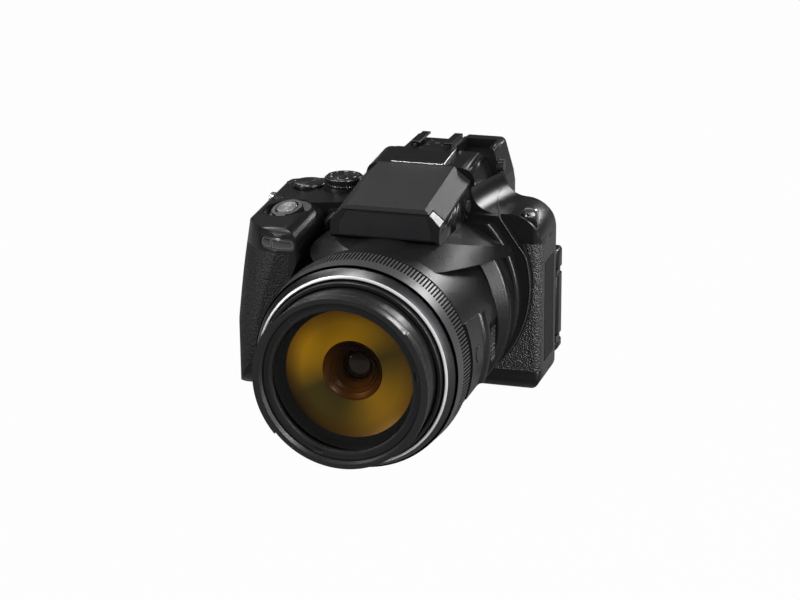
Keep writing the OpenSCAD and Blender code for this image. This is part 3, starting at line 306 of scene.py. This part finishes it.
# Edge trim: a thin raised bead that follows the collar of the housing and
# climbs over the shoulder to the viewfinder.
def bead(name, points, radius, material, body="body"):
    """A round bead through points given in millimetres."""
    curve = bpy.data.curves.new(name, "CURVE")
    curve.dimensions = "3D"
    curve.bevel_depth = radius * mm
    curve.bevel_resolution = 3
    curve.use_fill_caps = True
    spline = curve.splines.new("NURBS")
    spline.points.add(len(points) - 1)
    for point, place in zip(spline.points, points):
        point.co = (*(c * mm for c in place), 1)
    spline.order_u = 3
    spline.use_endpoint_u = True
    curve.materials.append(material)
    piece = bpy.data.objects.new(name, curve)
    bpy.context.scene.collection.objects.link(piece)
    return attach(piece, body)


collar_h = 56.5
collar_r = 59.5
collar_front = -16.1
bead_black = moulded("bead_black", (0.03, 0.03, 0.032), 0.26, 0.4, 0.01, 0.6)
sweep = [math.radians(a) for a in range(-52, 20, 4)]
collar_run = [(collar_r * math.cos(a), collar_front, collar_h + collar_r * math.sin(a))
              for a in sweep]
saddle_run = [(53.0, collar_front, 78.2), (48.3, collar_front, 85.2), (44.4, -16.0, 90.8),
              (43.2, -14.5, 92.2), (41.7, -8, 92.4), (38.9, 0, 92.8), (37.3, 6, 93.8),
              (36.2, 12, 95.7), (36.6, 20, 98.3)]
bead("collar_bead", collar_run + saddle_run, 0.35, bead_black)


# Control ring and bezel: a rubber-coated ring with moulded ribs that turns on
# the barrel, behind a satin metal bezel with a polished front line.
axis_h = 42


def about_axis(place):
    """Distance from the lens axis in millimetres, and the angle about it."""
    across = place.along(0)
    up = place.along(2) - axis_h
    return (across * across + up * up) ** 0.5, up.of("ARCTAN2", across)


ring_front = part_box("control_ring")[0].y / mm
ring_fall = 1.1
ring_crest = 50.4
ring_run = 14.5
ring_slope = ring_fall / ring_run
rib_depth = 0.15
rib_rubber, rib_surface, rib_place = finish("rib_rubber", Specular_IOR_Level=0.5)
rib_reach = about_axis(rib_place)[0]
rib_back = rib_place.along(1) - ring_front
rib_top = (rib_back * ring_slope).of("MINIMUM", ring_fall) + (ring_crest - ring_fall)
rib_crest = (rib_reach - rib_top).of("GREATER_THAN", -rib_depth)
# Painted light: the rib crests are painted lighter and glossier as painted highlight, varied by a
# random mottle; the grooves are painted near black and made metallic as painted shade.
rib_mottle = rib_place.noise(0.8, 3)
rib_painted_light = rib_crest * (0.75 + rib_mottle * 0.5)
rib_painted_light.between((0.0008, 0.0008, 0.0009), (0.042, 0.042, 0.043)).into(rib_surface, "Base Color")
(0.75 - rib_crest * 0.42 + rib_mottle * 0.06).into(rib_surface, "Roughness")
(1 - rib_crest).into(rib_surface, "Metallic")
rib_place.noise(0.4, 2).bump(0.012).into(rib_surface, "Normal")
dress(rib_rubber, "control_ring")
bezel_satin = turned_metal("bezel_satin", (0.085, 0.085, 0.088), 0.33)
dress(bezel_satin, "lens_bezel")
soften(0.25, "lens_bezel")


def turned(name, profile, material, body, segments=160):
    """A piece turned about the lens axis from (radius, y) points in millimetres."""
    rim = len(profile)
    verts = []
    faces = []
    for step in range(segments):
        turn = 2 * math.pi * step / segments
        for radius, y in profile:
            up = axis_h + radius * math.sin(turn)
            verts.append((radius * math.cos(turn) * mm, y * mm, up * mm))
        here = step * rim
        after = (step + 1) % segments * rim
        for i in range(rim - 1):
            faces.append((here + i, here + i + 1, after + i + 1, after + i))
    mesh = bpy.data.meshes.new(name)
    mesh.from_pydata(verts, [], faces)
    mesh.validate()
    for face in mesh.polygons:
        face.use_smooth = True
    mesh.set_sharp_from_angle(angle=math.radians(35))
    mesh.materials.append(material)
    piece = bpy.data.objects.new(name, mesh)
    bpy.context.scene.collection.objects.link(piece)
    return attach(piece, body)


bezel_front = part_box("lens_bezel")[0].y / mm
line_r = 44.5
silver = turned_metal("silver", (0.9, 0.9, 0.9), 0.3, 0.55, 0.3)
turned("bezel_line", [(line_r, bezel_front + 0.5), (line_r + 0.1, bezel_front - 0.2),
                      (line_r + 0.5, bezel_front - 0.4), (line_r + 1.1, bezel_front - 0.2),
                      (line_r + 1.4, bezel_front + 0.5), (line_r, bezel_front + 0.5)],
       silver, "body")


# Nested barrels and filter ring: turned alloy tubes with a black satin coat;
# the front one carries the filter thread and two hood claws.
barrel_black = turned_metal("barrel_black", (0.008, 0.008, 0.0085), 0.32, 0.0, 0.2)
dress(barrel_black, "mid_barrel", "front_barrel", "filter_ring")
soften(0.3, "filter_ring", "front_barrel", "mid_barrel")
rim_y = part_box("filter_ring")[0].y / mm
thread_r = 38.5
thread_pitch = 0.75
thread_deep = 0.4
thread_turns = 4
thread_root = thread_r + 0.02
thread_start = rim_y + 0.5
thread = []
for turn in range(thread_turns):
    ridge = thread_start + turn * thread_pitch
    thread += [(thread_root, ridge - thread_pitch / 2), (thread_r - thread_deep, ridge)]
thread.append((thread_root, thread_start + (thread_turns - 0.5) * thread_pitch))
turned("filter_thread", thread, barrel_black, "front_lens_group")


# Retaining ring: a flat matt ring that holds the front glass, with three
# spanner notches.
ring_grey = moulded("ring_grey", (0.012, 0.012, 0.0135), 0.45, 0.35, 0.015, 0.3)
flange_y = rim_y + 3.5
glass_r = 33.8
ring_face = flange_y - 0.45
notch_face = flange_y - 0.44
retaining_ring = turned("retaining_ring", [
    (38.3, flange_y + 0.2), (38.3, flange_y - 0.25), (38.0, ring_face), (36.9, ring_face),
    (36.85, notch_face), (35.5, notch_face), (35.45, ring_face), (glass_r + 0.9, ring_face),
    (glass_r + 0.35, flange_y - 0.3), (glass_r, flange_y + 0.6), (glass_r, flange_y + 2.4)],
    ring_grey, "front_lens_group", 360)
notch_deep = 0.9 * mm
notch_in = 35.47
notch_out = 36.88
notch_half = 2.1
for corner in retaining_ring.data.vertices:
    up = corner.co.z - axis_h * mm
    reach = math.hypot(corner.co.x, up) / mm
    turn = math.degrees(math.atan2(up, corner.co.x))
    for notch in (10, 129, -109):
        if abs(turn - notch) < notch_half and notch_in < reach < notch_out:
            corner.co.y += notch_deep


# Front glass: a large ground and coated meniscus that lets the amber inner
# groups show, held in the front barrel by the retaining ring.
glass, glass_surface, glass_place = finish("glass", Specular_IOR_Level=0.8, Alpha=0.05)
glass_tone = glass_place.noise(14).between((0.004, 0.003, 0.001), (0.006, 0.005, 0.002))
glass_tone.into(glass_surface, "Base Color")
(0.02 + glass_place.noise(20) * 0.02).into(glass_surface, "Roughness")
dress(glass, "front_lens")


# Inner lens groups: coated glass in blackened cells, an amber dish, a brown
# stepped cell and a small deep element, one behind the other.
def lobe(angle, towards, power):
    """Light that is strongest towards an angle in degrees; a higher power narrows it."""
    facing = (angle - math.radians(towards)).of("COSINE")
    return facing.of("MAXIMUM", 0.0) ** power


amber, amber_surface, amber_place = finish("amber", Metallic=0.15, Coat_Weight=0.02,
                                           Specular_IOR_Level=0.1)
amber_reach, amber_turn = about_axis(amber_place)
amber_edge_r = 24
# Painted light: two lobes of painted reflection towards the upper left and the lower right, painted
# shade that darkens and browns the dish towards its rim, and a painted shadow towards the lower left.
amber_painted_reflection = lobe(amber_turn, 118, 1.2) + lobe(amber_turn, -36, 3.0) * 0.45
amber_rim_shade = ((amber_reach - amber_edge_r) * 0.12).of("MAXIMUM", 0.0)
amber_tone = amber_painted_reflection.between((0.06, 0.043, 0.008), (0.72, 0.35, 0.003))
amber_tone = (amber_rim_shade * 0.8).between(amber_tone, (0.12, 0.045, 0.003))
amber_shade = lobe(amber_turn, -150, 1.3) * (amber_rim_shade * 0.9 + 0.15)
amber_shade.between(amber_tone, (0.004, 0.003, 0.001)).into(amber_surface, "Base Color")
(0.3 + amber_place.noise(12) * 0.1).into(amber_surface, "Roughness")
dish_y = flange_y + 11.5
dish_r = 30.8
cell_r = 14.0
cell_y = dish_y + 4.4
amber_dish = turned("amber_dish", [
    (dish_r, dish_y), (dish_r - 0.5, dish_y + 0.3), (26, dish_y + 1.6), (20, dish_y + 3.2),
    (cell_r + 0.4, cell_y)], amber, "front_lens_group")
brown, brown_surface, brown_place = finish("brown", Metallic=0.3, Coat_Weight=0.02,
                                           Specular_IOR_Level=0.1)
brown_turn = about_axis(brown_place)[1]
# Painted reflection: the cell is painted lighter in two lobes, towards the bottom and towards the
# left.
brown_painted_reflection = lobe(brown_turn, -65, 2) + lobe(brown_turn, 165, 2) * 0.8
brown_painted_reflection.between((0.012, 0.0035, 0.0006), (0.10, 0.030, 0.002)).into(brown_surface, "Base Color")
(0.28 + brown_place.noise(5) * 0.12).into(brown_surface, "Roughness")
deep_r = 7.4
stepped_cell = turned("stepped_cell", [
    (cell_r + 0.4, cell_y), (cell_r + 0.1, cell_y - 0.4), (cell_r - 0.3, cell_y + 0.1),
    (11.6, cell_y + 1.6), (11.4, cell_y + 1.3), (11.1, cell_y + 1.7),
    (9.9, cell_y + 3.0), (9.7, cell_y + 2.7), (9.4, cell_y + 3.2),
    (deep_r + 0.3, cell_y + 6.0), (deep_r, cell_y + 5.6), (deep_r - 0.3, cell_y + 8)],
    brown, "front_lens_group")
deep, deep_surface, deep_place = finish("deep", Coat_Weight=0.15, Specular_IOR_Level=0.3)
deep_reach = about_axis(deep_place)[0]
# Painted light: the deep element is painted lighter at its centre and darker towards its rim, as
# painted shade.
deep_painted_shade = (deep_reach * 0.12).between((0.02, 0.009, 0.001), (0.008, 0.003, 0.001))
deep_painted_shade.into(deep_surface, "Base Color")
(0.05 + deep_place.noise(4) * 0.05).into(deep_surface, "Roughness")
deep_element = turned("deep_element", [
    (deep_r, cell_y + 9), (5.5, cell_y + 7.9), (3, cell_y + 7.2), (0.02, cell_y + 7)],
    deep, "front_lens_group")
baffle_black = moulded("baffle_black", (0.006, 0.006, 0.006), 0.6, 0.3, 0.02, 0.2)
baffle_y = flange_y + 9.7
baffle_pitch = 0.35
baffle = []
for step in range(5):
    ridge = baffle_y + baffle_pitch * step
    baffle += [(36.5, ridge), (35.9, ridge + 0.2)]
baffle += [(dish_r, dish_y + 0.1), (dish_r - 0.2, dish_y + 0.6)]
cell_baffle = turned("cell_baffle", baffle, baffle_black, "front_lens_group")
dress(baffle_black, "inner_lens_cell")
for piece in (amber_dish, stepped_cell, deep_element, cell_baffle):
    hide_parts("inner_lens_cell")


# Viewfinder housing and front plate: one moulding that carries the flash, the
# shoe and the eyepiece; the plate on its front is bare.
dress(cover_black, "viewfinder_housing")
soften(0.5, "viewfinder_housing")
plate_gloss = moulded("plate_gloss", (0.010, 0.010, 0.011), 0.3, 0.4, 0.012, 0.4)
dress(plate_gloss, "front_plate")
soften(0.2, "front_plate")


# Flash head: a moulded cap with a speckled paint, hinged along its rear edge,
# with a diffuser behind the front wall. The light flecks of the speckle are
# painted glints, and its pits are painted darker, as shade.
speckle, speckle_surface, speckle_place = finish("speckle", Specular_IOR_Level=0.3)
flake = speckle_place.node("ShaderNodeTexVoronoi", {"feature": "F1"},
                           {"Vector": speckle_place, "Scale": 620})
spot = speckle_place.node("ShaderNodeTexVoronoi", {"feature": "F1"},
                          {"Vector": speckle_place, "Scale": 330})
# Painted light: the flecks are painted lighter and glossier as glints, and the pits are painted
# darker as shade.
shaded_pit = spot.of("LESS_THAN", 0.16)
glint = flake.of("LESS_THAN", 0.12)
speckle_tone = 0.35 + glint * 0.65 - shaded_pit * 0.35
speckle_tone.between((0.004, 0.004, 0.004), (0.034, 0.034, 0.036)).into(speckle_surface, "Base Color")
(0.46 - glint * 0.12 + speckle_place.noise(0.5) * 0.1).into(speckle_surface, "Roughness")
(speckle_place.noise(0.45, 3) - shaded_pit * 0.5).bump(0.05).into(speckle_surface, "Normal")
dress(speckle, "flash_head")
soften(0.45, "flash_head")
diffuser, diffuser_surface, diffuser_place = finish("diffuser", Coat_Weight=0.4)
diffuser_rib = diffuser_place.node("ShaderNodeTexWave", {"bands_direction": "X"},
                                   {"Vector": diffuser_place, "Scale": 300})
# Painted light: each rib is painted lighter on its crest and darker in its trough, following its
# relief.
diffuser_rib.between((0.5, 0.5, 0.48), (0.75, 0.75, 0.72)).into(diffuser_surface, "Base Color")
(0.25 + diffuser_rib * 0.1).into(diffuser_surface, "Roughness")
diffuser_rib.bump(0.15).into(diffuser_surface, "Normal")
dress(diffuser, "flash_window")


# Hinge bar and deck line: the bright steel bar that the flash cap turns on, and
# a thin line along the deck of the shoe.
polished = turned_metal("polished", (0.86, 0.86, 0.86), 0.12, 1.0, 0.3)
deck_half = 13.3
bar_half = deck_half - 0.3
hinge_y = -8.097
hinge_h = 113.366
bead("hinge_bar", [(x, hinge_y, hinge_h) for x in (-bar_half, 0, bar_half)],
     0.93, polished, "flash")
bead("deck_line", [(deck_half, hinge_y + 1.2, hinge_h + 0.1), (deck_half, 0, 114.3),
                   (deck_half, 10, 115.4), (deck_half, 16.5, 115.6)],
     0.28, bare_steel, "body")


# Accessory shoe: a folded steel channel with plated spring contacts, screwed
# to the deck.
shoe_black = turned_metal("shoe_black", (0.06, 0.06, 0.062), 0.3)
dress(shoe_black, "accessory_shoe")
soften(0.25, "accessory_shoe")
contact_gold = turned_metal("contact_gold", (0.42, 0.36, 0.26), 0.3)
dress(contact_gold, "shoe_contacts")


# Eyepiece: a soft rubber eyecup round a coated lens, with the small display
# behind it.
eyecup_rubber = moulded("eyecup_rubber", (0.009, 0.009, 0.009), 0.62, 0.7, 0.06, 0.3)
dress(eyecup_rubber, "eyecup")
soften(1.2, "eyecup")
eye_glass, eye_surface, eye_place = finish("eye_glass", Alpha=0.35, Specular_IOR_Level=0.8)
eye_place.noise(8).between((0.02, 0.025, 0.05), (0.04, 0.045, 0.08)).into(eye_surface, "Base Color")
(0.03 + eye_place.noise(10) * 0.02).into(eye_surface, "Roughness")
dress(eye_glass, "eyepiece_lens")
display_black, display_surface, display_place = finish("display_black", Coat_Weight=0.5)
display_tone = display_place.noise(10).between((0.005, 0.005, 0.006), (0.008, 0.008, 0.010))
display_tone.into(display_surface, "Base Color")
(0.09 + display_place.noise(25) * 0.05).into(display_surface, "Roughness")
dress(display_black, "evf_display", "monitor_screen")


# Top controls: shutter button in its zoom lever, two dials, and small push
# buttons, moulded or turned and finished in satin black.
control_black = moulded("control_black", (0.014, 0.014, 0.015), 0.36, 0.4, 0.015, 0.45)
dress(control_black, "zoom_lever", "power_button", "fn_button", "flash_button", "diopter_knob")
soften(0.25, "zoom_lever", "power_button", "fn_button", "flash_button")


def spun(name, colour, rough, centre):
    """Metal faced in a lathe: fine rings about a centre given in millimetres."""
    material, surface, place = finish(name, Metallic=0.75)
    from_centre = place.node("ShaderNodeVectorMath", {"operation": "DISTANCE"},
                             {0: place, 1: tuple(c * mm for c in centre)}, 1)
    wave = (from_centre * 12000).of("SINE")
    dark = [0.8 * c for c in colour]
    light = [1.2 * c for c in colour]
    (wave * 0.5 + 0.5).between(dark, light).into(surface, "Base Color")
    (rough + place.noise(3) * 0.06).into(surface, "Roughness")
    wave.bump(0.03).into(surface, "Normal")
    return material


def hoop(name, centre, radius, wire, material, body):
    """A thin ring that lies flat round a point given in millimetres."""
    round_turn = [math.radians(a) for a in range(0, 361, 6)]
    points = [(centre[0] + radius * math.cos(a), centre[1] + radius * math.sin(a), centre[2])
              for a in round_turn]
    return bead(name, points, wire, material, body)


dial_steel = turned_metal("dial_steel", (0.3, 0.3, 0.3), 0.28)
command_centre = (-64.2, 16, 93.5)
command_metal = spun("command_metal", (0.05, 0.05, 0.052), 0.24, command_centre)
dress(command_metal, "command_dial")
soften(0.3, "command_dial")
hoop("command_line", (*command_centre[:2], 93.15), 8.1, 0.14, dial_steel, "command")
mode_centre = (-44.3, 12, 99.1)
mode_metal = spun("mode_metal", (0.035, 0.035, 0.037), 0.28, mode_centre)
dress(mode_metal, "mode_dial")
hoop("mode_top_line", (*mode_centre[:2], 98.25), 9.45, 0.14, dial_steel, "mode")
hoop("mode_foot_line", (*mode_centre[:2], 95.3), 9.9, 0.15, dial_steel, "mode")
mark_white = moulded("mark_white", (0.55, 0.55, 0.54), 0.5, 0.3, 0.01)
mark_teal = moulded("mark_teal", (0.03, 0.38, 0.36), 0.5, 0.3, 0.01)
mark_r = 6.9
mark_lift = Vector((0, 0, 0.04))
mark_count = 9
for number in range(mark_count):
    turn = math.radians(20 + 360 / mark_count * number)
    out = Vector((math.cos(turn), math.sin(turn), 0))
    across = Vector((-math.sin(turn), math.cos(turn), 0))
    middle = Vector(mode_centre) + out * mark_r + mark_lift
    half = 0.35 + 0.3 * (number % 3)
    bead("mode_mark_%d" % number, [middle - across * half, middle, middle + across * half], 0.2,
         mark_teal if number == 0 else mark_white, "mode")
shutter_centre = (-64, -18, 86.4)
shutter_metal = spun("shutter_metal", (0.2, 0.2, 0.203), 0.28, shutter_centre)
dress(shutter_metal, "shutter_button")
soften(0.4, "shutter_button")


# Screen: the panel and its arm are moulded like the covers, with a bonded
# glossy window.
dress(cover_black, "monitor_arm", "monitor_panel")
soften(0.4, "monitor_arm", "monitor_panel")


# Side controls: a ribbed zoom rocker and a round button on the barrel, and the
# rubber cover of the connectors.
dress(control_black, "side_zoom_rocker", "snap_back_button")
soften(0.2, "side_zoom_rocker", "snap_back_button")
port_rubber = moulded("port_rubber", (0.005, 0.005, 0.0055), 0.5, 0.6, 0.04, 0.2)
dress(port_rubber, "connector_cover")
soften(0.4, "connector_cover")


# Rear controls: a knurled selector dial round its centre button, and moulded
# push buttons.
rear_buttons = ["movie_button", "display_button", "viewfinder_button", "lock_button",
                "play_button", "menu_button", "delete_button", "ok_button"]
dress(control_black, "selector_dial", "focus_lever", *rear_buttons)
soften(0.3, "focus_lever", *rear_buttons)


# Inner pieces: sensor, board, battery, card, sockets and zoom motor, out of
# sight once the covers are on.
board_green = moulded("board_green", (0.02, 0.10, 0.04), 0.4, 0.6, 0.03)
sensor_glass = moulded("sensor_glass", (0.03, 0.07, 0.10), 0.12, 3.0, 0.002)
case_grey = moulded("case_grey", (0.05, 0.05, 0.052), 0.4, 0.4, 0.02)
dress(board_green, "main_board")
dress(sensor_glass, "image_sensor")
dress(case_grey, "battery", "memory_card", "connector_sockets")
dress(bare_steel, "zoom_motor")


# Floor and light: a plain white floor, a pale surround that darkens overhead,
# and six soft boxes.
floor_half = 40
floor_gap = 0.0003
floor_mesh = bpy.data.meshes.new("floor")
floor_mesh.from_pydata([(x * floor_half, y * floor_half, 0)
                        for x, y in ((-1, -1), (1, -1), (1, 1), (-1, 1))], [], [(0, 1, 2, 3)])
floor = bpy.data.objects.new("floor", floor_mesh)
floor.location.z = cad_box[0].z - floor_gap
bpy.context.scene.collection.objects.link(floor)
floor_white, floor_surface, floor_place = finish("floor_white", Roughness=0.9, Specular_IOR_Level=0.0)
floor_surface.inputs["Base Color"].default_value = (0.2, 0.2, 0.2, 1)
seen = floor_place.node("ShaderNodeLightPath", {}, {}, 0)
mirrored = floor_place.node("ShaderNodeLightPath", {}, {}, 3)
through = floor_place.node("ShaderNodeLightPath", {}, {}, 6)
white = floor_place.node("ShaderNodeEmission", {}, {"Color": (1, 1, 1, 1), "Strength": 1.0})
floor_share = (seen + through).of("MINIMUM", 1.0) * 0.98 + mirrored * 0.08
mixed = floor_place.node("ShaderNodeMixShader", {},
                         {0: floor_share, 1: Sock(floor_surface.outputs[0]), 2: white})
mixed.into(floor_white.node_tree.nodes["Material Output"], "Surface")
floor_mesh.materials.append(floor_white)

world = bpy.data.worlds.new("surround")
bpy.context.scene.world = world
world.use_nodes = True
background = world.node_tree.nodes["Background"]
direction = Sock(world.node_tree.nodes.new("ShaderNodeTexCoord").outputs["Generated"])
height = direction.node("ShaderNodeSeparateXYZ", {}, {0: direction}, 2)
surround = height.node("ShaderNodeValToRGB",
                       {"stops": [(0.0, (0.08, 0.08, 0.08)), (0.15, (0.08, 0.08, 0.08)),
                                  (0.5, (0.06, 0.06, 0.06)), (1.0, (0.04, 0.04, 0.04))]},
                       {0: height})
surround.into(background, "Color")


light_aim = Vector((0, -0.04, 0.06))


def soft_box(name, place, size, power):
    """A rectangular lamp, in metres and watts, that faces the camera body."""
    lamp = bpy.data.lights.new(name, "AREA")
    lamp.shape = "RECTANGLE"
    lamp.size, lamp.size_y = size
    lamp.energy = power
    box = bpy.data.objects.new(name, lamp)
    box.location = place
    box.rotation_euler = (light_aim - Vector(place)).to_track_quat("-Z", "Y").to_euler()
    bpy.context.scene.collection.objects.link(box)


soft_box("key_box", (0.9, -0.75, 1.0), (0.5, 0.35), 14)
soft_box("left_box", (-0.95, -0.95, 0.6), (0.25, 0.9), 10)
soft_box("back_box", (0.55, 1.0, 0.66), (0.45, 0.25), 7)
soft_box("over_box", (-0.3, -0.2, 1.3), (0.5, 0.4), 8)
soft_box("right_strip", (1.2, -0.55, 0.28), (0.08, 0.8), 13)
soft_box("rear_box", (-0.9, 0.7, 1.2), (0.6, 0.5), 6)


# Camera: the viewing place found from the photograph, a long lens from the
# upper right front.
view_place = Vector((0.3202, -1.0671, 0.4093))
view_back = Vector((0.28199, -0.90647, 0.31433)).normalized()
view_roll = math.radians(-0.52)
level = Vector((0, 0, 1)).cross(view_back).normalized()
upright = view_back.cross(level)
view_right = level * math.cos(view_roll) + upright * math.sin(view_roll)
view_up = upright * math.cos(view_roll) - level * math.sin(view_roll)
lens = bpy.data.cameras.new("camera")
lens.sensor_width = 36
lens.lens = 105
lens.clip_end = 200
camera = bpy.data.objects.new("camera", lens)
view_turn = Matrix((view_right, view_up, view_back)).transposed().to_4x4()
camera.matrix_world = Matrix.Translation(view_place) @ view_turn
bpy.context.scene.collection.objects.link(camera)
bpy.context.scene.camera = camera
bpy.context.scene.view_settings.view_transform = "Standard"
